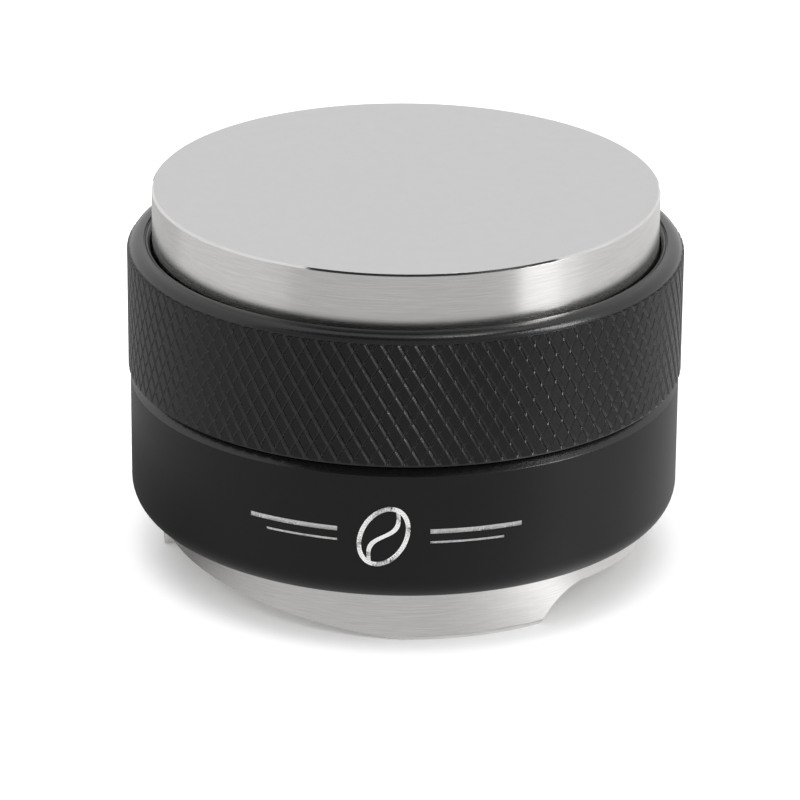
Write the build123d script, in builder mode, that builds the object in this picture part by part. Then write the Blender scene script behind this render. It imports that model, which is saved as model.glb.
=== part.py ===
from build123d import *
import math
import os

# Two-ended coffee tamper: a flat steel tamping base on top, a three-wedge steel distributor
# underneath, and a two-piece black aluminium housing between them. Each base is screwed to a
# threaded hub that turns in the housing, so turning a base sets how far it stands out.
# Millimetres. +Z runs up the axis, and the origin is on the axis at the wedge tips.

# Heights, from the wedge tips up
distributor_exposure = 6.0
lower_body_height = 16.1
grip_ring_height = 15.9
tamper_exposure = 6.1

# Outer sizes
tamper_radius = 29.0
distributor_radius = 28.0
grip_wall = 2.63
grip_shoulder_width = 1.7
grip_shoulder_height = 1.1
grip_bottom_chamfer = 0.3
body_step = 0.23
body_top_chamfer = 0.8
body_bottom_fillet = 3.0
parting_groove_height = 0.4
parting_groove_depth = 1.2
tamper_edge_fillet = 0.15

# Adjustment: how far each base screws out from the position modelled, the thread still held
# then, and the gaps left when both bases are screwed right in
extend_travel = 1.8
thread_engagement = 2.7
end_gap = 0.3
hub_gap = 0.4

# Steel bases
base_bore_clearance = 0.25
rim_cover = 0.4
mouth_chamfer = 0.3
mouth_step_width = 0.4
mouth_step_depth = 0.25
back_edge_chamfer = 0.3
register_height = 1.5
register_clearance = 0.02
register_wall = 3.5
relief_depth = 5.5

# Friction O-rings
ring_section_radius = 0.8
ring_clearance = 0.05
groove_offset = 0.5
groove_play = 0.3

# Threaded hubs
thread_radius = 20.0
thread_clearance = 0.05
hub_wall = 7.45
hub_edge_chamfer = 0.4

# Spigot that centres one housing half in the other
spigot_radius = 27.5
spigot_height = 2.0
spigot_clearance = 0.02
spigot_end_gap = 0.1

# M3 countersunk screws
screw_radius = 1.5
screw_head_radius = 2.8
screw_cone_angle = 90
screw_tip_chamfer = 0.3
screw_hole_clearance = 0.1
tapped_clearance = 0.02
tapped_run_out = 0.8
socket_across_flats = 2.0
socket_depth = 1.1
joining_screw_hold = 4.1
joining_screw_count = 4
hub_screw_hold = 3.0
hub_screw_count = 3

# Dowel pins between the housing halves
dowel_radius = 1.5
dowel_length = 6.0
dowel_count = 2
dowel_clearance = 0.01
dowel_chamfer = 0.3
dowel_start_angle = 45

# Wedges of the distributor, angles counted from the front (-Y) towards +X
wedge_count = 3
wedge_rise = 3.75
land_angle = 34.0
ramp_angle = 77.0
step_radius = 8.0
land_corner_radius = 0.9

# Radii and lengths that follow from the sizes above
grip_radius = tamper_radius + base_bore_clearance + grip_wall
body_radius = grip_radius - body_step
groove_width = 2 * ring_section_radius + groove_play
base_hidden = extend_travel + groove_offset + groove_width + rim_cover
half_housing = (lower_body_height + grip_ring_height - hub_gap) / 2
retract_travel = (half_housing - base_hidden - end_gap - extend_travel - thread_engagement) / 2
hub_length = retract_travel + end_gap + extend_travel + thread_engagement
hub_radius = thread_radius - thread_clearance
hub_bore_radius = hub_radius - hub_wall
hub_screw_pcd_radius = hub_radius - hub_wall / 2
hub_screw_length = hub_length + hub_screw_hold
joining_pcd_radius = (thread_radius + spigot_radius) / 2
pocket_depth = base_hidden + retract_travel + end_gap

# Planes that the pieces share
wedge_tips = 0.0
body_bottom = distributor_exposure
parting = body_bottom + lower_body_height
ring_top = parting + grip_ring_height
tamper_face = ring_top + tamper_exposure
upper_pocket_floor = ring_top - pocket_depth
lower_pocket_ceiling = body_bottom + pocket_depth
tamper_back = ring_top - base_hidden
distributor_back = body_bottom + base_hidden
mouth_floor = ring_top - mouth_step_depth
recess_floor = parting - spigot_height - spigot_end_gap
joining_screw_length = upper_pocket_floor - recess_floor + joining_screw_hold
dowel_hole_depth = dowel_length / 2 + end_gap
front_angle = -90.0

os.makedirs("parts", exist_ok=True)


def bore_radius(base_radius):
    """Bore of the housing around a base of this radius."""
    return base_radius + base_bore_clearance


def ring_centre_radius(base_radius):
    """Radius of the O-ring's centre line, with the ring just inside the housing bore."""
    return bore_radius(base_radius) - ring_clearance - ring_section_radius


def groove_floor_radius(base_radius):
    """Floor of the rim groove that holds the O-ring."""
    return ring_centre_radius(base_radius) - ring_section_radius - ring_clearance


def countersunk_screw(length):
    """M3 countersunk screw with a hex socket, head face up at the origin."""
    cone_depth = (screw_head_radius - screw_radius) / math.tan(math.radians(screw_cone_angle / 2))
    with BuildPart() as screw:
        with BuildSketch(Plane.XZ):
            with BuildLine():
                Polyline(
                    (0, 0),
                    (screw_head_radius, 0),
                    (screw_radius, -cone_depth),
                    (screw_radius, screw_tip_chamfer - length),
                    (screw_radius - screw_tip_chamfer, -length),
                    (0, -length),
                    close=True,
                )
            make_face()
        revolve(axis=Axis.Z)
        with BuildSketch(Plane.XY):
            RegularPolygon(socket_across_flats / 2, 6, major_radius=False)
        extrude(amount=-socket_depth, mode=Mode.SUBTRACT)
    return screw.part


def steel_base(radius, face, back):
    """Steel disc from its working face to its back, with the rim groove and the register."""
    side = math.copysign(1, face - back)
    groove_floor = groove_floor_radius(radius)
    groove_start = back + side * groove_offset
    groove_end = groove_start + side * groove_width
    register_end = back - side * register_height
    relief_end = register_end + side * relief_depth
    register_radius = hub_bore_radius - register_clearance
    relief_radius = register_radius - register_wall
    with BuildPart() as base:
        with BuildSketch(Plane.XZ):
            with BuildLine():
                Polyline(
                    (0, face),
                    (radius, face),
                    (radius, groove_end),
                    (groove_floor, groove_end),
                    (groove_floor, groove_start),
                    (radius, groove_start),
                    (radius, back + side * back_edge_chamfer),
                    (radius - back_edge_chamfer, back),
                    (register_radius, back),
                    (register_radius, register_end),
                    (relief_radius, register_end),
                    (relief_radius, relief_end),
                    (0, relief_end),
                    close=True,
                )
            make_face()
        revolve(axis=Axis.Z)
        with Locations(Plane(origin=(0, 0, back), z_dir=(0, 0, -side))):
            with PolarLocations(hub_screw_pcd_radius, hub_screw_count):
                Hole(screw_radius + tapped_clearance, depth=hub_screw_hold + tapped_run_out)
    return base.part


def threaded_hub(back, side):
    """Aluminium hub behind a base; its outside carries the adjusting thread."""
    inner_end = back - side * hub_length
    with BuildPart() as hub:
        with BuildSketch(Plane.XY.offset(back)):
            Circle(hub_radius)
            Circle(hub_bore_radius, mode=Mode.SUBTRACT)
        extrude(amount=-side * hub_length)
        outer_edges = hub.edges().filter_by(GeomType.CIRCLE).group_by(SortBy.RADIUS)[-1]
        chamfer(outer_edges, hub_edge_chamfer)
        with Locations(Plane(origin=(0, 0, inner_end), z_dir=(0, 0, -side))):
            with PolarLocations(hub_screw_pcd_radius, hub_screw_count):
                CounterSinkHole(
                    screw_radius + screw_hole_clearance,
                    screw_head_radius + screw_hole_clearance,
                    depth=hub_length,
                    counter_sink_angle=screw_cone_angle,
                )
    return hub.part


def hub_screws(back, side):
    """The screws that hold one hub to its base, heads flush with the hub's inner end."""
    inner_end = back - side * hub_length
    screw = countersunk_screw(hub_screw_length)
    with BuildPart() as screws:
        with Locations(Plane(origin=(0, 0, inner_end), z_dir=(0, 0, -side))):
            with PolarLocations(hub_screw_pcd_radius, hub_screw_count):
                add(screw)
    return screws.part


def friction_ring(base_radius, back, side):
    """Rubber O-ring in the rim groove of a base."""
    ring_height = back + side * (groove_offset + groove_width / 2)
    with BuildPart() as ring:
        with BuildSketch(Plane.XZ):
            with Locations((ring_centre_radius(base_radius), ring_height)):
                Circle(ring_section_radius)
        revolve(axis=Axis.Z)
    return ring.part


def wedge_cutter():
    """Space between two lands: a rounded corner and a hollow step beside one, a flat ramp to the next."""
    reach = 2 * distributor_radius
    step_run = math.sqrt(2 * step_radius * wedge_rise - wedge_rise**2)
    hollow_centre = Vector(step_run, wedge_rise - step_radius)
    corner_drop = land_corner_radius - hollow_centre.Y
    corner_reach = math.sqrt((step_radius + land_corner_radius) ** 2 - corner_drop**2)
    corner_centre = Vector(step_run - corner_reach, land_corner_radius)
    corner_end = hollow_centre + (corner_centre - hollow_centre).normalized() * step_radius
    ramp_slope = wedge_rise / (distributor_radius * math.sin(math.radians(ramp_angle)))
    below = -wedge_rise
    step_angle = math.radians(front_angle + land_angle)
    next_land_angle = math.radians(front_angle + 360 / wedge_count)
    step_plane = Plane(
        origin=(0, 0, wedge_tips),
        x_dir=(-math.sin(step_angle), math.cos(step_angle), 0),
        z_dir=(math.cos(step_angle), math.sin(step_angle), 0),
    )
    ramp_plane = Plane(
        origin=(0, 0, wedge_tips),
        x_dir=(math.sin(next_land_angle), -math.cos(next_land_angle), 0),
        z_dir=(-math.cos(next_land_angle), -math.sin(next_land_angle), 0),
    )
    with BuildPart() as cutter:
        with BuildSketch(step_plane):
            with BuildLine():
                corner = TangentArc((corner_centre.X, 0), corner_end, tangent=(1, 0))
                hollow = TangentArc((step_run, wedge_rise), corner_end, tangent=(-1, 0))
                Polyline(
                    corner @ 0,
                    (corner_centre.X, below),
                    (reach, below),
                    (reach, wedge_rise),
                    hollow @ 0,
                )
            make_face()
        extrude(amount=reach, both=True)
        with BuildSketch(ramp_plane):
            with BuildLine():
                Polyline(
                    (0, 0),
                    (reach, ramp_slope * reach),
                    (reach, below),
                    (0, below),
                    close=True,
                )
            make_face()
        extrude(amount=reach, both=True, mode=Mode.INTERSECT)
    return cutter.part


# Tamping base: a turned steel disc, flat on top
with BuildPart() as tamper_base:
    add(steel_base(tamper_radius, tamper_face, tamper_back))
    face_edge = tamper_base.faces().sort_by(Axis.Z)[-1].edges()
    fillet(face_edge, tamper_edge_fillet)
tamper_base.part.label = "tamper_base"
export_step(tamper_base.part, "parts/tamper_base.step")

# Distributor base: the same blank, with three wedges milled into its face
with BuildPart() as distributor_base:
    add(steel_base(distributor_radius, wedge_tips, distributor_back))
    wedge_space = wedge_cutter()
    with PolarLocations(0, wedge_count):
        add(wedge_space, mode=Mode.SUBTRACT)
distributor_base.part.label = "distributor_base"
export_step(distributor_base.part, "parts/distributor_base.step")

# Hubs, their screws and the O-rings, once for each end
for end_name, end_radius, end_back, end_side in (
    ("tamper", tamper_radius, tamper_back, 1),
    ("distributor", distributor_radius, distributor_back, -1),
):
    hub_part = threaded_hub(end_back, end_side)
    hub_part.label = f"{end_name}_hub"
    export_step(hub_part, f"parts/{end_name}_hub.step")

    screws_part = hub_screws(end_back, end_side)
    screws_part.label = f"{end_name}_hub_screws"
    export_step(screws_part, f"parts/{end_name}_hub_screws.step")

    ring_part = friction_ring(end_radius, end_back, end_side)
    ring_part.label = f"{end_name}_o_ring"
    export_step(ring_part, f"parts/{end_name}_o_ring.step")

# Grip ring: upper half of the housing, knurled on the outside, with a spigot underneath
with BuildPart() as grip_ring:
    with BuildSketch(Plane.XZ):
        with BuildLine():
            upper_bore = bore_radius(tamper_radius)
            mouth_step_radius = upper_bore + mouth_chamfer + mouth_step_width
            shoulder_start = grip_radius - grip_shoulder_width
            Polyline(
                (thread_radius, parting - spigot_height),
                (thread_radius, upper_pocket_floor),
                (upper_bore, upper_pocket_floor),
                (upper_bore, mouth_floor - mouth_chamfer),
                (upper_bore + mouth_chamfer, mouth_floor),
                (mouth_step_radius, mouth_floor),
                (mouth_step_radius, ring_top),
                (shoulder_start, ring_top),
            )
            EllipticalCenterArc(
                center=(shoulder_start, ring_top - grip_shoulder_height),
                x_radius=grip_shoulder_width,
                y_radius=grip_shoulder_height,
                start_angle=0,
                arc_size=90,
            )
            Polyline(
                (grip_radius, ring_top - grip_shoulder_height),
                (grip_radius, parting + parting_groove_height + grip_bottom_chamfer),
                (grip_radius - grip_bottom_chamfer, parting + parting_groove_height),
                (body_radius - parting_groove_depth, parting + parting_groove_height),
                (body_radius - parting_groove_depth, parting),
                (spigot_radius, parting),
                (spigot_radius, parting - spigot_height),
                (thread_radius, parting - spigot_height),
            )
        make_face()
    revolve(axis=Axis.Z)
    with Locations(Plane.XY.offset(upper_pocket_floor)):
        with PolarLocations(joining_pcd_radius, joining_screw_count):
            CounterSinkHole(
                screw_radius + screw_hole_clearance,
                screw_head_radius + screw_hole_clearance,
                counter_sink_angle=screw_cone_angle,
            )
    with Locations(Plane.XY.offset(parting - spigot_height + dowel_hole_depth)):
        with PolarLocations(joining_pcd_radius, dowel_count, start_angle=dowel_start_angle):
            Hole(dowel_radius + dowel_clearance, depth=dowel_hole_depth)
grip_ring.part.label = "grip_ring"
export_step(grip_ring.part, "parts/grip_ring.step")

# Lower body: smooth lower half of the housing, tapped for the joining screws
with BuildPart() as lower_body:
    with BuildSketch(Plane.XZ):
        with BuildLine():
            lower_bore = bore_radius(distributor_radius)
            recess_radius = spigot_radius + spigot_clearance
            Polyline(
                (thread_radius, lower_pocket_ceiling),
                (lower_bore, lower_pocket_ceiling),
                (lower_bore, body_bottom),
                (body_radius - body_bottom_fillet, body_bottom),
            )
            RadiusArc(
                (body_radius - body_bottom_fillet, body_bottom),
                (body_radius, body_bottom + body_bottom_fillet),
                -body_bottom_fillet,
            )
            Polyline(
                (body_radius, body_bottom + body_bottom_fillet),
                (body_radius, parting - body_top_chamfer),
                (body_radius - body_top_chamfer, parting),
                (recess_radius, parting),
                (recess_radius, recess_floor),
                (thread_radius, recess_floor),
                (thread_radius, lower_pocket_ceiling),
            )
        make_face()
    revolve(axis=Axis.Z)
    with Locations(Plane.XY.offset(recess_floor)):
        with PolarLocations(joining_pcd_radius, joining_screw_count):
            Hole(screw_radius + tapped_clearance, depth=joining_screw_hold + tapped_run_out)
        with PolarLocations(joining_pcd_radius, dowel_count, start_angle=dowel_start_angle):
            Hole(dowel_radius + dowel_clearance, depth=dowel_hole_depth)
lower_body.part.label = "lower_body"
export_step(lower_body.part, "parts/lower_body.step")

# Screws that pull the two housing halves together, heads in the floor of the upper pocket
joining_screw = countersunk_screw(joining_screw_length)
with BuildPart() as joining_screws:
    with Locations(Plane.XY.offset(upper_pocket_floor)):
        with PolarLocations(joining_pcd_radius, joining_screw_count):
            add(joining_screw)
joining_screws.part.label = "joining_screws"
export_step(joining_screws.part, "parts/joining_screws.step")

# Dowel pins that stop one half turning on the other
with BuildPart() as dowel_pins:
    with Locations(Plane.XY.offset(parting - spigot_height - spigot_end_gap / 2)):
        with PolarLocations(joining_pcd_radius, dowel_count, start_angle=dowel_start_angle):
            Cylinder(dowel_radius, dowel_length)
    chamfer(dowel_pins.edges().filter_by(GeomType.CIRCLE), dowel_chamfer)
dowel_pins.part.label = "dowel_pins"
export_step(dowel_pins.part, "parts/dowel_pins.step")
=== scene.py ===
import math

import bmesh
import bpy
from mathutils import Matrix, Vector


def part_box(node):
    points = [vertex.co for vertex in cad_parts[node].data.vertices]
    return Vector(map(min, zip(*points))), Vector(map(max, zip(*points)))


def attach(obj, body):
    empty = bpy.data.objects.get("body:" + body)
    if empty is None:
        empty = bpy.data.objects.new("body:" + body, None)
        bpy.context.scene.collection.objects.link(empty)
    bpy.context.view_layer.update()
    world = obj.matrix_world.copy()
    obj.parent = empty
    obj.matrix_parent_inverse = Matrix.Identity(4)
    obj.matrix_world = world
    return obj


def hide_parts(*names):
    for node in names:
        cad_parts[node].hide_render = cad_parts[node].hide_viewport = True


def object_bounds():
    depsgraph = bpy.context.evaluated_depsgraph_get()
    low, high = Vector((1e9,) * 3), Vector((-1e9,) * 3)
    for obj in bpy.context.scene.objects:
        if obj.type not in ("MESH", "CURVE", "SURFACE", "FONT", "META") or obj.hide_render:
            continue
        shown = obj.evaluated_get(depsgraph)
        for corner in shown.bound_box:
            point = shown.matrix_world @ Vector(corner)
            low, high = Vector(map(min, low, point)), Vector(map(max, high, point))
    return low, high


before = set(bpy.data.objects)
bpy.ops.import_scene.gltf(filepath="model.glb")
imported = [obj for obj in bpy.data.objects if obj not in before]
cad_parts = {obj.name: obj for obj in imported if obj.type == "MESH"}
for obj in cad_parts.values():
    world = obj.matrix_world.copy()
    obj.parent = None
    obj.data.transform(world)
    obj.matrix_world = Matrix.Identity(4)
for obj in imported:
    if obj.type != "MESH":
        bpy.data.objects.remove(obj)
cad_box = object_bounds()
MM = 0.001

# Bench, light and camera: a white bench in a white tent under two large softboxes, with a tall one
# on the tool's right that shows only in its gloss. Cards that only reflections see lie round the
# foot, grey in front and bright on the right, and two darker ones stand in front of the tool.
low, high = cad_box
tool_height = high[2] - low[2]
tool_middle = (0, 0, tool_height / 2)
bench_half = 4.0

bench_shape = bmesh.new()
bmesh.ops.create_grid(bench_shape, x_segments=1, y_segments=1, size=bench_half)
bench_mesh = bpy.data.meshes.new("bench")
bench_shape.to_mesh(bench_mesh)
bench_shape.free()
bench = bpy.data.objects.new("bench", bench_mesh)
bpy.context.collection.objects.link(bench)

bench_white = bpy.data.materials.new("bench_white")
bench_white.use_nodes = True
bench_shader = bench_white.node_tree.nodes["Principled BSDF"]
bench_shader.inputs["Base Color"].default_value = (0.92, 0.92, 0.92, 1)
bench_shader.inputs["Roughness"].default_value = 0.9
bench_shader.inputs["Specular IOR Level"].default_value = 0.1
bench_shader.inputs["Emission Color"].default_value = (1, 1, 1, 1)
bench_shader.inputs["Emission Strength"].default_value = 0.1
bench_mesh.materials.append(bench_white)

tent = bpy.data.worlds.new("tent")
tent.use_nodes = True
tent.node_tree.nodes["Background"].inputs["Color"].default_value = (1, 1, 1, 1)
tent.node_tree.nodes["Background"].inputs["Strength"].default_value = 1.0
bpy.context.scene.world = tent
bpy.context.scene.view_settings.view_transform = "Standard"


def softbox(name, width, depth, power, place, aim):
    """Rectangular area lamp at a place, turned towards a point."""
    lamp = bpy.data.lights.new(name, "AREA")
    lamp.shape = "RECTANGLE"
    lamp.size = width
    lamp.size_y = depth
    lamp.energy = power
    box = bpy.data.objects.new(name, lamp)
    box.location = place
    box.rotation_euler = (Vector(aim) - Vector(place)).to_track_quat("-Z", "Y").to_euler()
    bpy.context.collection.objects.link(box)


def gloss_card(name, brightness, near, far, first_angle, last_angle, height=0.0, rise=0.0):
    """Card seen only in reflections, between two angles round the tool counted from the front.
    It lies from near to far, or stands up by its rise when near and far are the same."""
    steps = 24
    turn = math.radians(last_angle - first_angle)
    start = math.radians(first_angle - 90)
    inner_point = Vector((near * math.cos(start), near * math.sin(start), height))
    outer_point = Vector((far * math.cos(start), far * math.sin(start), height + rise))
    shape = bmesh.new()
    edge = shape.edges.new((shape.verts.new(inner_point), shape.verts.new(outer_point)))
    bmesh.ops.spin(
        shape, geom=[edge, *edge.verts], cent=(0, 0, 0), axis=(0, 0, 1), angle=turn, steps=steps
    )
    mesh = bpy.data.meshes.new(name)
    shape.to_mesh(mesh)
    shape.free()
    card = bpy.data.objects.new(name, mesh)
    bpy.context.collection.objects.link(card)
    for kind in ("camera", "diffuse", "shadow", "transmission", "volume_scatter"):
        setattr(card, "visible_" + kind, False)
    paper = bpy.data.materials.new(name)
    paper.use_nodes = True
    shader = paper.node_tree.nodes["Principled BSDF"]
    shader.inputs["Base Color"].default_value = (0, 0, 0, 1)
    shader.inputs["Specular IOR Level"].default_value = 0
    shader.inputs["Emission Color"].default_value = (1, 1, 1, 1)
    shader.inputs["Emission Strength"].default_value = brightness
    mesh.materials.append(paper)
    return paper


foot_edge = 0.0283
foot_end = 0.056
low_peak = 1.5
softbox("overhead", width=0.6, depth=0.6, power=1.6, place=(-0.1, 0.12, 0.7), aim=tool_middle)
softbox(
    "right_side", width=0.12, depth=0.8, power=2.8, place=(0.372, -0.152, 0.42), aim=tool_middle
)
softbox("bench_fill", width=1.6, depth=1.2, power=7.0, place=(0.1, -0.3, 1.1), aim=tool_middle)
bpy.data.objects["right_side"].visible_diffuse = False
bpy.data.objects["bench_fill"].visible_glossy = False
bpy.data.objects["overhead"].visible_glossy = False
gloss_card(
    "grey_card", 0.58, near=foot_edge, far=0.6, first_angle=-175, last_angle=47, height=0.0002
)
gloss_card("left_card", 0.74, near=0.075, far=0.6, first_angle=-112, last_angle=-48, height=0.0003)
low_paper = gloss_card(
    "low_card",
    low_peak,
    near=foot_edge,
    far=foot_end,
    first_angle=-184,
    last_angle=175,
    height=0.0004,
)
low_tones = {
    -90: 0.2, -72: 0.2, -50: 0.5, -35: 0.6, 10: 0.6, 20: 0.68, 30: 0.88,
    40: 1.2, 46: 1.3, 56: 0.85, 66: 0.78, 110: 0.76, 172: 0.6, 184: 0.2,
}
low_nodes = low_paper.node_tree.nodes
low_links = low_paper.node_tree.links
low_where = low_nodes.new("ShaderNodeTexCoord")
low_turn = low_nodes.new("ShaderNodeTexGradient")
low_turn.gradient_type = "RADIAL"
low_ramp = low_nodes.new("ShaderNodeValToRGB")
for _ in range(len(low_tones) - 2):
    low_ramp.color_ramp.elements.new(0.5)
for stop, (low_angle, low_tone) in zip(low_ramp.color_ramp.elements, low_tones.items()):
    stop.position = (low_angle + 90) / 360
    stop.color = (low_tone / low_peak, low_tone / low_peak, low_tone / low_peak, 1)
low_links.new(low_where.outputs["Object"], low_turn.inputs["Vector"])
low_links.new(low_turn.outputs["Fac"], low_ramp.inputs["Fac"])
low_links.new(low_ramp.outputs["Color"], low_nodes["Principled BSDF"].inputs["Emission Color"])
gloss_card(
    "bright_strip", 1.28, near=foot_end, far=0.5, first_angle=47, last_angle=66, height=0.0004
)
gloss_card("strip_edge", 0.94, near=foot_end, far=0.5, first_angle=66, last_angle=77, height=0.0004)
gloss_card(
    "right_card", 0.76, near=foot_end, far=0.5, first_angle=77, last_angle=175, height=0.0003
)
gloss_card(
    "low_flag", 0.45, near=0.35, far=0.35, first_angle=-62, last_angle=52, height=0.02, rise=0.36
)
gloss_card(
    "dark_flag", 0.04, near=0.2, far=0.2, first_angle=-62, last_angle=86, height=0.22, rise=0.62
)

lens_mm = 222.4
sensor_mm = 36
camera_distance_mm = 563.2
camera_pitch = math.radians(22.24)
camera_roll = math.radians(0.458)
aim_right_mm = 0.502
aim_up_mm = 24.539
camera_data = bpy.data.cameras.new("camera")
camera_data.lens = lens_mm
camera_data.sensor_width = sensor_mm
camera = bpy.data.objects.new("camera", camera_data)
look = Vector((0, math.cos(camera_pitch), -math.sin(camera_pitch)))
up = Vector((0, math.sin(camera_pitch), math.cos(camera_pitch)))
top_centre = Vector((0, 0, tool_height))
camera.location = top_centre - MM * (
    camera_distance_mm * look + aim_up_mm * up + aim_right_mm * Vector((1, 0, 0))
)
camera_tilt = Matrix.Rotation(math.pi / 2 - camera_pitch, 4, "X")
camera.rotation_euler = (camera_tilt @ Matrix.Rotation(camera_roll, 4, "Z")).to_euler()
bpy.context.collection.objects.link(camera)
bpy.context.scene.camera = camera


# Lower body: the smooth lower half of the housing, turned from aluminium bar and black anodised.
# Its top edge has a bright-cut chamfer under the parting groove, and its bottom edge a large round.
weld_gap = 1e-7
same_place = 1e-6


def turned(name, profile, steps=256):
    """Object turned round the tool's axis from a closed outline of (radius, height) points."""
    shape = bmesh.new()
    points = [shape.verts.new((radius, 0, height)) for radius, height in profile]
    for start, end in zip(points, points[1:] + points[:1]):
        if start.co.x > 0 or end.co.x > 0:
            shape.edges.new((start, end))
    bmesh.ops.spin(
        shape,
        geom=shape.verts[:] + shape.edges[:],
        cent=(0, 0, 0),
        axis=(0, 0, 1),
        angle=math.tau,
        steps=steps,
        use_merge=True,
    )
    bmesh.ops.remove_doubles(shape, verts=shape.verts[:], dist=weld_gap)
    bmesh.ops.recalc_face_normals(shape, faces=shape.faces[:])
    return made(name, shape)


def made(name, shape):
    """Object from a finished bmesh, smooth shaded."""
    for face in shape.faces:
        face.smooth = True
    mesh = bpy.data.meshes.new(name)
    shape.to_mesh(mesh)
    shape.free()
    piece = bpy.data.objects.new(name, mesh)
    bpy.context.collection.objects.link(piece)
    return piece


def break_edges(piece, width, segments=2, angle=25):
    """Small rounds on a machined piece's edges."""
    bevel = piece.modifiers.new("edge_break", "BEVEL")
    bevel.width = width
    bevel.segments = segments
    bevel.limit_method = "ANGLE"
    bevel.angle_limit = math.radians(angle)
    bevel.harden_normals = True


def black_anodised(name, roughness, grain, gloss_spread=0.06, shade=0.004, gloss=1.34, relief=0.25):
    """Black dyed anodising over a fine bead-blasted skin: grain is its bumps' size in metres."""
    material = bpy.data.materials.new(name)
    material.use_nodes = True
    nodes = material.node_tree.nodes
    links = material.node_tree.links
    shader = nodes["Principled BSDF"]
    shader.inputs["IOR"].default_value = gloss
    where = nodes.new("ShaderNodeTexCoord")
    skin = nodes.new("ShaderNodeTexNoise")
    skin.inputs["Scale"].default_value = 1 / grain
    skin.inputs["Detail"].default_value = 3
    links.new(where.outputs["Object"], skin.inputs["Vector"])
    clouds = nodes.new("ShaderNodeTexNoise")
    clouds.inputs["Scale"].default_value = 90
    clouds.inputs["Detail"].default_value = 4
    links.new(where.outputs["Object"], clouds.inputs["Vector"])
    dye = nodes.new("ShaderNodeMapRange")
    dye.inputs["To Min"].default_value = 0.7
    dye.inputs["To Max"].default_value = 1.3
    links.new(clouds.outputs["Fac"], dye.inputs["Value"])
    tint = nodes.new("ShaderNodeMix")
    tint.data_type = "RGBA"
    tint.blend_type = "MULTIPLY"
    tint.inputs["Factor"].default_value = 1
    tint.inputs["A"].default_value = (shade, shade, shade * 1.05, 1)
    links.new(dye.outputs["Result"], tint.inputs["B"])
    links.new(tint.outputs["Result"], shader.inputs["Base Color"])
    sheen = nodes.new("ShaderNodeMapRange")
    sheen.inputs["To Min"].default_value = roughness - gloss_spread
    sheen.inputs["To Max"].default_value = roughness + gloss_spread
    links.new(skin.outputs["Fac"], sheen.inputs["Value"])
    links.new(sheen.outputs["Result"], shader.inputs["Roughness"])
    bump = nodes.new("ShaderNodeBump")
    bump.inputs["Strength"].default_value = relief
    bump.inputs["Distance"].default_value = grain / 6
    links.new(skin.outputs["Fac"], bump.inputs["Height"])
    links.new(bump.outputs["Normal"], shader.inputs["Normal"])
    return material


body_low, body_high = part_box("lower_body")
distributor_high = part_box("distributor_base")[1]
hub_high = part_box("tamper_hub")[1]
thread_clearance = 0.05 * MM
bore_clearance = 0.25 * MM
pocket_depth = 8.1 * MM
spigot_radius = 27.5 * MM
spigot_height = 2.0 * MM
spigot_clearance = 0.02 * MM
spigot_end_gap = 0.1 * MM
body_chamfer = 0.8 * MM
body_round = 3.0 * MM
body_round_steps = 14
body_radius = body_high[0]
body_bottom = body_low[2]
parting = body_high[2]
thread_radius = hub_high[0] + thread_clearance
distributor_bore = distributor_high[0] + bore_clearance
lower_pocket = body_bottom + pocket_depth
recess_radius = spigot_radius + spigot_clearance
recess_floor = parting - spigot_height - spigot_end_gap

black_skin = black_anodised("black_anodised_satin", roughness=0.42, grain=0.00012)
black_cut = black_anodised(
    "black_anodised_bright_cut", roughness=0.24, grain=0.0003, gloss_spread=0.03, gloss=1.5
)

lower_body = turned(
    "lower_body_shell",
    [
        (thread_radius, lower_pocket),
        (distributor_bore, lower_pocket),
        (distributor_bore, body_bottom),
        (body_radius, body_bottom),
        (body_radius, parting - body_chamfer),
        (body_radius - body_chamfer, parting),
        (recess_radius, parting),
        (recess_radius, recess_floor),
        (thread_radius, recess_floor),
    ],
)
rounded = bmesh.new()
rounded.from_mesh(lower_body.data)
corner = {
    vert
    for vert in rounded.verts
    if abs(vert.co.z - body_bottom) < same_place
    and abs(vert.co.xy.length - body_radius) < same_place
}
bottom_edge = [edge for edge in rounded.edges if all(vert in corner for vert in edge.verts)]
bmesh.ops.bevel(
    rounded,
    geom=bottom_edge,
    offset=body_round,
    segments=body_round_steps,
    profile=0.5,
    affect="EDGES",
    material=-1,
)
chamfer_middle = parting - body_chamfer / 2
for face in rounded.faces:
    face.smooth = True
    middle = face.calc_center_median()
    on_chamfer = abs(middle.z - chamfer_middle) < same_place
    if on_chamfer and middle.xy.length > recess_radius:
        face.material_index = 1
rounded.to_mesh(lower_body.data)
rounded.free()
lower_body.data.materials.append(black_skin)
lower_body.data.materials.append(black_cut)
break_edges(lower_body, 0.08 * MM)
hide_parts("lower_body")
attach(lower_body, "housing")


# Grip ring: the upper half of the housing, black anodised aluminium with a cut diamond knurl.
# One column of diamonds is made flat, cut off level at both ends, wrapped on the ring and repeated;
# the rounded shoulder and the stepped mouth are then carried on from its ends.
ring_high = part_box("grip_ring")[1]
tamper_low, tamper_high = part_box("tamper_base")
ring_radius = ring_high[0]
ring_top = ring_high[2]
knurl_starts = 108
knurl_angle = math.radians(30)
deep_groove_width = 0.56 * MM
deep_groove_depth = 0.22 * MM
fine_groove_width = 0.24 * MM
fine_groove_depth = 0.12 * MM
first_diamond_drop = 0.3
shoulder_width = 1.7 * MM
shoulder_height = 1.1 * MM
shoulder_steps = 10
bottom_chamfer = 0.3 * MM
groove_height = 0.4 * MM
groove_depth = 1.2 * MM
mouth_chamfer = 0.3 * MM
mouth_step_width = 0.4 * MM
mouth_step_depth = 0.25 * MM
mouth_wall_lean = 0.05 * MM
mouth_line_start = 0.15 * MM
mouth_line_crest = 0.22 * MM
mouth_line_end = 0.3 * MM
mouth_line_depth = 0.16 * MM
groove_radius = body_radius - groove_depth
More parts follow.
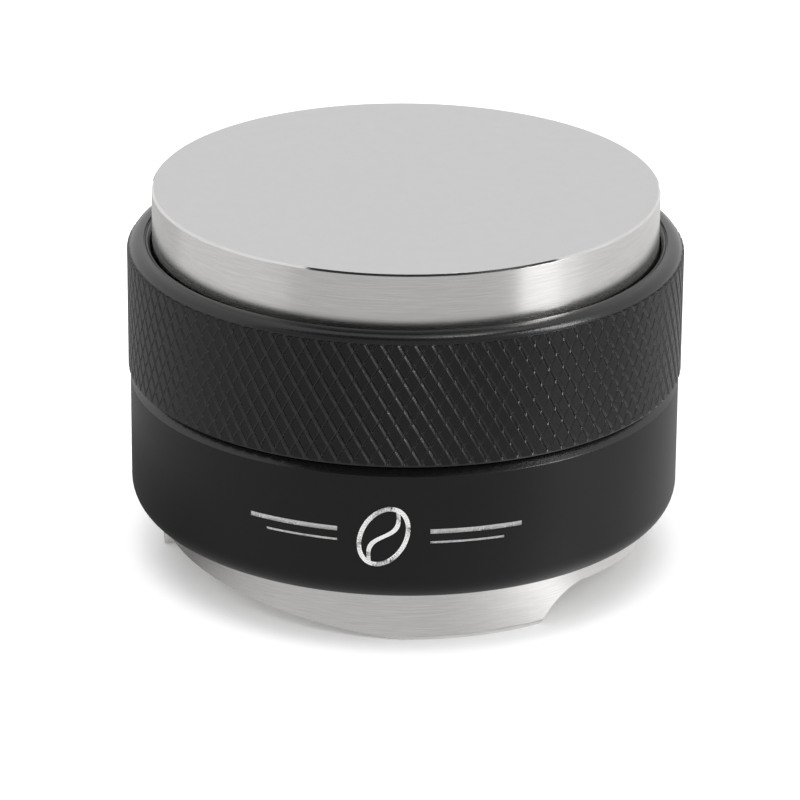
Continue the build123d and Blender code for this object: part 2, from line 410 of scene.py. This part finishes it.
tamper_bore = tamper_high[0] + bore_clearance
mouth_step_radius = tamper_bore + mouth_chamfer + mouth_step_width
mouth_floor = ring_top - mouth_step_depth
upper_pocket = ring_top - pocket_depth
knurl_bottom = parting + groove_height
column_width = math.tau * ring_radius / knurl_starts
diamond_height = column_width / math.tan(knurl_angle)

half_width = column_width / 2
half_height = diamond_height / 2
half_gap = half_width * half_height / math.hypot(half_width, half_height)
knurl = bmesh.new()
bmesh.ops.create_grid(knurl, x_segments=3, y_segments=3, size=1)
for vert in knurl.verts:
    along, across = vert.co.xy
    in_fine_groove = abs(along) == 1
    in_deep_groove = abs(across) == 1
    if not in_fine_groove:
        along = math.copysign(1 - fine_groove_width / 2 / half_gap, along)
    if not in_deep_groove:
        across = math.copysign(1 - deep_groove_width / 2 / half_gap, across)
    depth = deep_groove_depth if in_deep_groove else fine_groove_depth if in_fine_groove else 0
    vert.co = (half_width * (across + along) / 2, depth, half_height * (across - along) / 2)
for face in knurl.faces:
    face.material_index = int(all(vert.co.y == 0 for vert in face.verts))
first_diamond = knurl.verts[:] + knurl.edges[:] + knurl.faces[:]
row_count = math.ceil((ring_top - knurl_bottom) / diamond_height) + 1
for row in range(1, 2 * row_count):
    copy = bmesh.ops.duplicate(knurl, geom=first_diamond)["geom"]
    step = Vector((column_width / 2 * (row % 2), 0, row * diamond_height / 2))
    copied = [item for item in copy if isinstance(item, bmesh.types.BMVert)]
    bmesh.ops.translate(knurl, vec=step, verts=copied)
first_row = (0, 0, knurl_bottom - diamond_height * first_diamond_drop)
bmesh.ops.translate(knurl, vec=first_row, verts=knurl.verts[:])
bmesh.ops.remove_doubles(knurl, verts=knurl.verts[:], dist=weld_gap)


def trim_knurl(height, outward):
    """Cut the knurl off level and carry the cut in to the depth of the deep grooves."""
    cut = bmesh.ops.bisect_plane(
        knurl,
        geom=knurl.verts[:] + knurl.edges[:] + knurl.faces[:],
        plane_co=(0, 0, height),
        plane_no=(0, 0, outward),
        clear_outer=True,
        dist=1e-8,
    )
    cut_edges = [item for item in cut["geom_cut"] if isinstance(item, bmesh.types.BMEdge)]
    edges = [edge for edge in cut_edges if len(edge.link_faces) == 1]
    grown = bmesh.ops.extrude_edge_only(knurl, edges=edges)["geom"]
    for vert in [item for item in grown if isinstance(item, bmesh.types.BMVert)]:
        vert.co.y = deep_groove_depth


trim_knurl(ring_top - shoulder_height, 1)
trim_knurl(knurl_bottom + bottom_chamfer, -1)
for vert in knurl.verts:
    turn = vert.co.x / ring_radius
    radius = ring_radius - vert.co.y
    vert.co = (radius * math.sin(turn), -radius * math.cos(turn), vert.co.z)
bmesh.ops.spin(
    knurl,
    geom=knurl.verts[:] + knurl.edges[:] + knurl.faces[:],
    cent=(0, 0, 0),
    axis=(0, 0, 1),
    angle=math.tau * (knurl_starts - 1) / knurl_starts,
    steps=knurl_starts - 1,
    use_duplicate=True,
)
bmesh.ops.remove_doubles(knurl, verts=knurl.verts[:], dist=2 * weld_gap)


def carry_round(height, outline):
    """Extrude the open edge at a height through an outline of (radius, height, material slot)."""
    level_verts = {vert for vert in knurl.verts if abs(vert.co.z - height) < same_place}
    open_edges = [edge for edge in knurl.edges if edge.is_boundary]
    edges = [edge for edge in open_edges if all(vert in level_verts for vert in edge.verts)]
    for radius, level, skin in outline:
        grown = bmesh.ops.extrude_edge_only(knurl, edges=edges)["geom"]
        edges = [item for item in grown if isinstance(item, bmesh.types.BMEdge)]
        for item in grown:
            if isinstance(item, bmesh.types.BMVert):
                item.co.xy *= radius / item.co.xy.length
                item.co.z = level
            if isinstance(item, bmesh.types.BMFace):
                item.material_index = skin
    return edges


shoulder_top = ring_radius - shoulder_width
shoulder_reach = shoulder_width - deep_groove_depth
shoulder = []
for step in range(1, shoulder_steps + 1):
    lean = math.pi / 2 * step / shoulder_steps
    radius = shoulder_top + shoulder_reach * math.cos(lean)
    shoulder.append((radius, ring_top - shoulder_height * (1 - math.sin(lean)), 2))
upper_end = carry_round(
    ring_top - shoulder_height,
    shoulder
    + [
        (mouth_step_radius, ring_top, 2),
        (mouth_step_radius - mouth_wall_lean, mouth_floor, 2),
        (mouth_step_radius - mouth_line_start, mouth_floor, 2),
        (mouth_step_radius - mouth_line_crest, ring_top - mouth_line_depth, 2),
        (mouth_step_radius - mouth_line_end, mouth_floor, 2),
        (tamper_bore + mouth_chamfer, mouth_floor, 2),
        (tamper_bore, mouth_floor - mouth_chamfer, 2),
        (tamper_bore, upper_pocket, 0),
        (thread_radius, upper_pocket, 0),
    ],
)
lower_end = carry_round(
    knurl_bottom + bottom_chamfer,
    [
        (ring_radius - bottom_chamfer, knurl_bottom, 2),
        (groove_radius, knurl_bottom, 0),
        (groove_radius, parting, 0),
        (spigot_radius, parting, 0),
        (spigot_radius, parting - spigot_height, 0),
        (thread_radius, parting - spigot_height, 0),
    ],
)
bmesh.ops.bridge_loops(knurl, edges=upper_end + lower_end)
bmesh.ops.recalc_face_normals(knurl, faces=knurl.faces[:])
grip_ring = made("grip_ring_knurled", knurl)
knurl_wall = black_anodised(
    "black_anodised_knurl_walls", roughness=0.28, grain=0.0002, gloss=1.58, relief=0.8
)
knurl_flat = black_anodised("black_anodised_knurl", roughness=0.36, grain=0.00018, relief=1)
grip_ring.data.materials.append(knurl_wall)
grip_ring.data.materials.append(knurl_flat)
grip_ring.data.materials.append(black_cut)
break_edges(grip_ring, 0.03 * MM, segments=1)
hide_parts("grip_ring")
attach(grip_ring, "housing")


# Tamper base: a turned and faced stainless disc. The face is lapped flat, the rim is left with
# the fine rings of the turning tool, and a small burnished chamfer runs between them.
def turned_steel(name, roughness, shade, ring_pitch=0.00006, brushed=0.4, streak=0.06):
    """Stainless steel with fine rings round the tool's axis and soft cloudy patches."""
    material = bpy.data.materials.new(name)
    material.use_nodes = True
    nodes = material.node_tree.nodes
    links = material.node_tree.links
    shader = nodes["Principled BSDF"]
    shader.inputs["Metallic"].default_value = 1
    shader.inputs["Anisotropic"].default_value = brushed
    shader.inputs["Anisotropic Rotation"].default_value = 0.25
    where = nodes.new("ShaderNodeTexCoord")
    parts = nodes.new("ShaderNodeSeparateXYZ")
    links.new(where.outputs["Object"], parts.inputs["Vector"])
    squash = nodes.new("ShaderNodeVectorMath")
    squash.operation = "MULTIPLY"
    squash.inputs[1].default_value = (1, 1, 0)
    links.new(where.outputs["Object"], squash.inputs[0])
    radius = nodes.new("ShaderNodeVectorMath")
    radius.operation = "LENGTH"
    links.new(squash.outputs["Vector"], radius.inputs[0])
    ring_place = nodes.new("ShaderNodeCombineXYZ")
    links.new(radius.outputs["Value"], ring_place.inputs["X"])
    links.new(parts.outputs["Z"], ring_place.inputs["Y"])
    streak_place = nodes.new("ShaderNodeVectorMath")
    streak_place.operation = "MULTIPLY"
    streak_place.inputs[1].default_value = (0.03, 0.03, 1)
    links.new(where.outputs["Object"], streak_place.inputs[0])
    streaks = nodes.new("ShaderNodeTexNoise")
    streaks.inputs["Scale"].default_value = 0.6 / ring_pitch
    streaks.inputs["Detail"].default_value = 4
    links.new(streak_place.outputs["Vector"], streaks.inputs["Vector"])
    wear = nodes.new("ShaderNodeMapRange")
    wear.inputs["From Min"].default_value = 0.3
    wear.inputs["From Max"].default_value = 0.7
    wear.inputs["To Min"].default_value = 1 - streak
    wear.inputs["To Max"].default_value = 1 + streak
    links.new(streaks.outputs["Fac"], wear.inputs["Value"])
    rings = nodes.new("ShaderNodeTexNoise")
    rings.inputs["Scale"].default_value = 1 / ring_pitch
    rings.inputs["Detail"].default_value = 2
    links.new(ring_place.outputs["Vector"], rings.inputs["Vector"])
    clouds = nodes.new("ShaderNodeTexNoise")
    clouds.inputs["Scale"].default_value = 55
    clouds.inputs["Detail"].default_value = 5
    links.new(where.outputs["Object"], clouds.inputs["Vector"])
    tone = nodes.new("ShaderNodeMapRange")
    tone.inputs["To Min"].default_value = 1 - streak / 2
    tone.inputs["To Max"].default_value = 1 + streak / 2
    links.new(clouds.outputs["Fac"], tone.inputs["Value"])
    tint = nodes.new("ShaderNodeMix")
    tint.data_type = "RGBA"
    tint.blend_type = "MULTIPLY"
    tint.inputs["Factor"].default_value = 1
    tint.inputs["A"].default_value = (*shade, 1)
    links.new(tone.outputs["Result"], tint.inputs["B"])
    streaked = nodes.new("ShaderNodeMix")
    streaked.data_type = "RGBA"
    streaked.blend_type = "MULTIPLY"
    streaked.inputs["Factor"].default_value = 1
    links.new(tint.outputs["Result"], streaked.inputs["A"])
    links.new(wear.outputs["Result"], streaked.inputs["B"])
    links.new(streaked.outputs["Result"], shader.inputs["Base Color"])
    sheen = nodes.new("ShaderNodeMapRange")
    sheen.inputs["To Min"].default_value = roughness - 0.05
    sheen.inputs["To Max"].default_value = roughness + 0.05
    links.new(rings.outputs["Fac"], sheen.inputs["Value"])
    links.new(sheen.outputs["Result"], shader.inputs["Roughness"])
    bump = nodes.new("ShaderNodeBump")
    bump.inputs["Strength"].default_value = 0.15
    bump.inputs["Distance"].default_value = ring_pitch / 10
    links.new(rings.outputs["Fac"], bump.inputs["Height"])
    links.new(bump.outputs["Normal"], shader.inputs["Normal"])
    outward = nodes.new("ShaderNodeVectorMath")
    outward.operation = "CROSS_PRODUCT"
    outward.inputs[0].default_value = (0, 0, 1)
    links.new(squash.outputs["Vector"], outward.inputs[1])
    along = nodes.new("ShaderNodeVectorMath")
    along.operation = "NORMALIZE"
    links.new(outward.outputs["Vector"], along.inputs[0])
    links.new(along.outputs["Vector"], shader.inputs["Tangent"])
    return material


tamper_radius = tamper_high[0]
tamper_face = tamper_high[2]
base_hidden = 4.6 * MM
register_radius = 12.48 * MM
register_wall = 3.5 * MM
relief_depth = 5.5 * MM
ring_section = 1.6 * MM
ring_clearance = 0.05 * MM
ring_groove_start = 0.5 * MM
ring_groove_end = 2.4 * MM
back_chamfer = 0.3 * MM
edge_chamfer = 0.22 * MM
tamper_back = ring_top - base_hidden
register_end = tamper_low[2]
relief_radius = register_radius - register_wall
groove_floor = tamper_bore - ring_clearance - ring_section - ring_clearance
# Painted shade and light: the face's steel is coloured darker than the rim's to dim the top's light
# from overhead, and the rim's paler steel, used for the distributor too, brightens the sides.
pale_steel_painted_light = turned_steel("steel_turned_painted_light", roughness=0.25, shade=(0.71, 0.70, 0.685))
steel_face_painted_shade = turned_steel(
    "steel_lapped_painted_shade",
    roughness=0.38,
    shade=(0.566, 0.566, 0.566),
    ring_pitch=0.00003,
    brushed=0,
    streak=0.012,
)
steel_edge = turned_steel(
    "steel_burnished_edge", roughness=0.08, shade=(0.68, 0.67, 0.66), brushed=0
)
tamper_base = turned(
    "tamper_disc",
    [
        (0, tamper_face),
        (tamper_radius - edge_chamfer, tamper_face),
        (tamper_radius, tamper_face - edge_chamfer),
        (tamper_radius, tamper_back + ring_groove_end),
        (groove_floor, tamper_back + ring_groove_end),
        (groove_floor, tamper_back + ring_groove_start),
        (tamper_radius, tamper_back + ring_groove_start),
        (tamper_radius, tamper_back + back_chamfer),
        (tamper_radius - back_chamfer, tamper_back),
        (register_radius, tamper_back),
        (register_radius, register_end),
        (relief_radius, register_end),
        (relief_radius, register_end + relief_depth),
        (0, register_end + relief_depth),
    ],
)
tamper_base.data.materials.append(pale_steel_painted_light)
tamper_base.data.materials.append(steel_face_painted_shade)
tamper_base.data.materials.append(steel_edge)
for polygon in tamper_base.data.polygons:
    if polygon.center.z > tamper_face - edge_chamfer:
        polygon.material_index = 1 if polygon.normal.z > 0.9 else 2
break_edges(tamper_base, 0.015 * MM, segments=1)
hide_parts("tamper_base")
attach(tamper_base, "tamper_head")


# Distributor base: the same steel blank with three wedges milled in its face, each a hollow step
# and a long ramp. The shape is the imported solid's own, joined up, with its milled edges kept crisp.
flat_angle = math.radians(0.2)
crisp_angle = math.radians(24)
milled = bmesh.new()
milled.from_mesh(bpy.data.objects["distributor_base"].data)
bmesh.ops.remove_doubles(milled, verts=milled.verts[:], dist=same_place)
bmesh.ops.dissolve_limit(
    milled, angle_limit=flat_angle, verts=milled.verts[:], edges=milled.edges[:], delimit=set()
)
distributor_base = made("distributor_wedges", milled)
distributor_base.data.materials.clear()
distributor_base.data.materials.append(pale_steel_painted_light)
distributor_base.data.set_sharp_from_angle(angle=crisp_angle)
flat_shading = distributor_base.modifiers.new("flat_shading", "WEIGHTED_NORMAL")
flat_shading.keep_sharp = True
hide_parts("distributor_base")
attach(distributor_base, "distributor_head")


# Threaded hubs: an aluminium sleeve behind each base, turned and clear anodised. Three screws hold
# it to the base, and the fine thread round its outside turns in the housing.
hub_metal = turned_steel(
    "aluminium_clear_anodised",
    roughness=0.34,
    shade=(0.76, 0.76, 0.77),
    ring_pitch=0.00008,
    streak=0.04,
)
thread_pitch = 1.5 * MM
wave_phase = 20
thread_nodes = hub_metal.node_tree.nodes
thread_links = hub_metal.node_tree.links
thread_place = thread_nodes.new("ShaderNodeTexCoord")
thread_wave = thread_nodes.new("ShaderNodeTexWave")
thread_wave.bands_direction = "Z"
thread_wave.inputs["Scale"].default_value = math.tau / wave_phase / thread_pitch
thread_links.new(thread_place.outputs["Object"], thread_wave.inputs["Vector"])
thread_bump = thread_nodes.new("ShaderNodeBump")
thread_bump.inputs["Strength"].default_value = 0.8
thread_bump.inputs["Distance"].default_value = thread_pitch / 4
thread_links.new(thread_wave.outputs["Fac"], thread_bump.inputs["Height"])
ring_bump = next(node for node in thread_nodes if node.type == "BUMP" and node != thread_bump)
thread_links.new(thread_bump.outputs["Normal"], ring_bump.inputs["Normal"])
for hub_name in ("tamper_hub", "distributor_hub"):
    bpy.data.objects[hub_name].material_slots[0].material = hub_metal


# Screws and dowel pins: M3 countersunk stainless screws that hold the hubs to the bases and the
# two halves of the housing together, and two ground steel pins that key the halves.
def hardware_steel(name, shade, roughness, grain):
    """Small steel hardware: bright metal with fine handling marks and a faint bloom."""
    material = bpy.data.materials.new(name)
    material.use_nodes = True
    nodes = material.node_tree.nodes
    links = material.node_tree.links
    shader = nodes["Principled BSDF"]
    shader.inputs["Metallic"].default_value = 1
    where = nodes.new("ShaderNodeTexCoord")
    marks = nodes.new("ShaderNodeTexNoise")
    marks.inputs["Scale"].default_value = 1 / grain
    marks.inputs["Detail"].default_value = 4
    links.new(where.outputs["Object"], marks.inputs["Vector"])
    bloom = nodes.new("ShaderNodeValToRGB")
    bloom.color_ramp.elements[0].position = 0.35
    bloom.color_ramp.elements[0].color = tuple(channel * 0.8 for channel in shade) + (1,)
    bloom.color_ramp.elements[1].position = 0.6
    bloom.color_ramp.elements[1].color = shade + (1,)
    links.new(marks.outputs["Fac"], bloom.inputs["Fac"])
    links.new(bloom.outputs["Color"], shader.inputs["Base Color"])
    sheen = nodes.new("ShaderNodeMapRange")
    sheen.inputs["To Min"].default_value = roughness - 0.06
    sheen.inputs["To Max"].default_value = roughness + 0.1
    links.new(marks.outputs["Fac"], sheen.inputs["Value"])
    links.new(sheen.outputs["Result"], shader.inputs["Roughness"])
    bump = nodes.new("ShaderNodeBump")
    bump.inputs["Strength"].default_value = 0.2
    bump.inputs["Distance"].default_value = grain / 10
    links.new(marks.outputs["Fac"], bump.inputs["Height"])
    links.new(bump.outputs["Normal"], shader.inputs["Normal"])
    return material


screw_steel = hardware_steel("screw_stainless", (0.55, 0.54, 0.52), roughness=0.32, grain=0.0004)
pin_steel = hardware_steel("pin_ground_steel", (0.6, 0.6, 0.6), roughness=0.2, grain=0.00015)
for screw_name in ("tamper_hub_screws", "distributor_hub_screws", "joining_screws"):
    bpy.data.objects[screw_name].material_slots[0].material = screw_steel
bpy.data.objects["dowel_pins"].material_slots[0].material = pin_steel


# Friction O-rings: black nitrile rubber rings in the rim grooves of the bases. They rub on the
# bores of the housing, so a base stays where it is set.
ring_rubber = bpy.data.materials.new("nitrile_rubber")
ring_rubber.use_nodes = True
rubber_nodes = ring_rubber.node_tree.nodes
rubber_links = ring_rubber.node_tree.links
rubber_shader = rubber_nodes["Principled BSDF"]
rubber_place = rubber_nodes.new("ShaderNodeTexCoord")
rubber_skin = rubber_nodes.new("ShaderNodeTexNoise")
rubber_skin.inputs["Scale"].default_value = 5000
rubber_skin.inputs["Detail"].default_value = 3
rubber_links.new(rubber_place.outputs["Object"], rubber_skin.inputs["Vector"])
rubber_dust = rubber_nodes.new("ShaderNodeValToRGB")
rubber_dust.color_ramp.elements[0].position = 0.4
rubber_dust.color_ramp.elements[0].color = (0.006, 0.006, 0.006, 1)
rubber_dust.color_ramp.elements[1].position = 0.75
rubber_dust.color_ramp.elements[1].color = (0.03, 0.029, 0.027, 1)
rubber_links.new(rubber_skin.outputs["Fac"], rubber_dust.inputs["Fac"])
rubber_links.new(rubber_dust.outputs["Color"], rubber_shader.inputs["Base Color"])
rubber_sheen = rubber_nodes.new("ShaderNodeMapRange")
rubber_sheen.inputs["To Min"].default_value = 0.45
rubber_sheen.inputs["To Max"].default_value = 0.65
rubber_links.new(rubber_skin.outputs["Fac"], rubber_sheen.inputs["Value"])
rubber_links.new(rubber_sheen.outputs["Result"], rubber_shader.inputs["Roughness"])
rubber_bump = rubber_nodes.new("ShaderNodeBump")
rubber_bump.inputs["Strength"].default_value = 0.3
rubber_bump.inputs["Distance"].default_value = 0.02 * MM
rubber_links.new(rubber_skin.outputs["Fac"], rubber_bump.inputs["Height"])
rubber_links.new(rubber_bump.outputs["Normal"], rubber_shader.inputs["Normal"])
for ring_name in ("tamper_o_ring", "distributor_o_ring"):
    bpy.data.objects[ring_name].material_slots[0].material = ring_rubber


# Bean mark: a plain coffee bean between two pairs of rules, laser etched through the black skin of
# the lower body so that pale aluminium shows. It is a generic ornament.
mark_rise = 8.2 * MM
mark_height = body_bottom + mark_rise
mark_turn = math.radians(-4)
mark_proud = 0.015 * MM
line_width = 0.5 * MM
bean_width = 5.4 * MM
bean_height = 7.6 * MM
bean_lean = math.radians(-28)
seam_sway = 0.75 * MM
seam_inset = 0.4 * MM
rule_length = 10.5 * MM
fine_rule_length = 8.4 * MM
rule_gap = 1.3 * MM
rule_start = 1.4 * MM
fine_rule = 0.22 * MM

mark = bmesh.new()
bean = bmesh.ops.create_circle(mark, cap_ends=True, segments=64, radius=0.5)["verts"]
bmesh.ops.scale(mark, vec=(bean_width, bean_height, 1), verts=bean)
bean_line = bmesh.ops.inset_individual(
    mark, faces=mark.faces[:], thickness=line_width, use_even_offset=True
)["faces"]
inside = [face for face in mark.faces if face not in bean_line]
bmesh.ops.delete(mark, geom=inside, context="FACES_ONLY")
for vert in bmesh.ops.create_grid(mark, x_segments=1, y_segments=32, size=1)["verts"]:
    side, along = vert.co.xy
    sway = seam_sway * math.sin(math.pi * along)
    vert.co = (sway + side * line_width / 2, along * (bean_height / 2 - seam_inset), 0)
lean_turn = Matrix.Rotation(bean_lean, 3, "Z")
bmesh.ops.rotate(mark, verts=mark.verts[:], cent=(0, 0, 0), matrix=lean_turn)
for side in (-1, 1):
    for level, width, length in (
        (rule_gap / 2, line_width, rule_length),
        (-rule_gap / 2, fine_rule, fine_rule_length),
    ):
        rule = bmesh.ops.create_grid(mark, x_segments=24, y_segments=1, size=0.5)["verts"]
        bmesh.ops.scale(mark, vec=(length, width, 1), verts=rule)
        reach = side * (bean_height / 2 + rule_start + length / 2)
        bmesh.ops.translate(mark, vec=(reach, level, 0), verts=rule)
for vert in mark.verts:
    turn = vert.co.x / body_radius + mark_turn
    radius = body_radius + mark_proud
    vert.co = (radius * math.sin(turn), -radius * math.cos(turn), mark_height + vert.co.y)
bmesh.ops.solidify(mark, geom=mark.faces[:], thickness=2 * mark_proud)
bmesh.ops.recalc_face_normals(mark, faces=mark.faces[:])
bean_mark = made("bean_mark", mark)
etched = hardware_steel("laser_etched_aluminium", (0.8, 0.8, 0.79), roughness=0.5, grain=0.00012)
etched.node_tree.nodes["Principled BSDF"].inputs["Metallic"].default_value = 0.1
bean_mark.data.materials.append(etched)
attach(bean_mark, "housing")
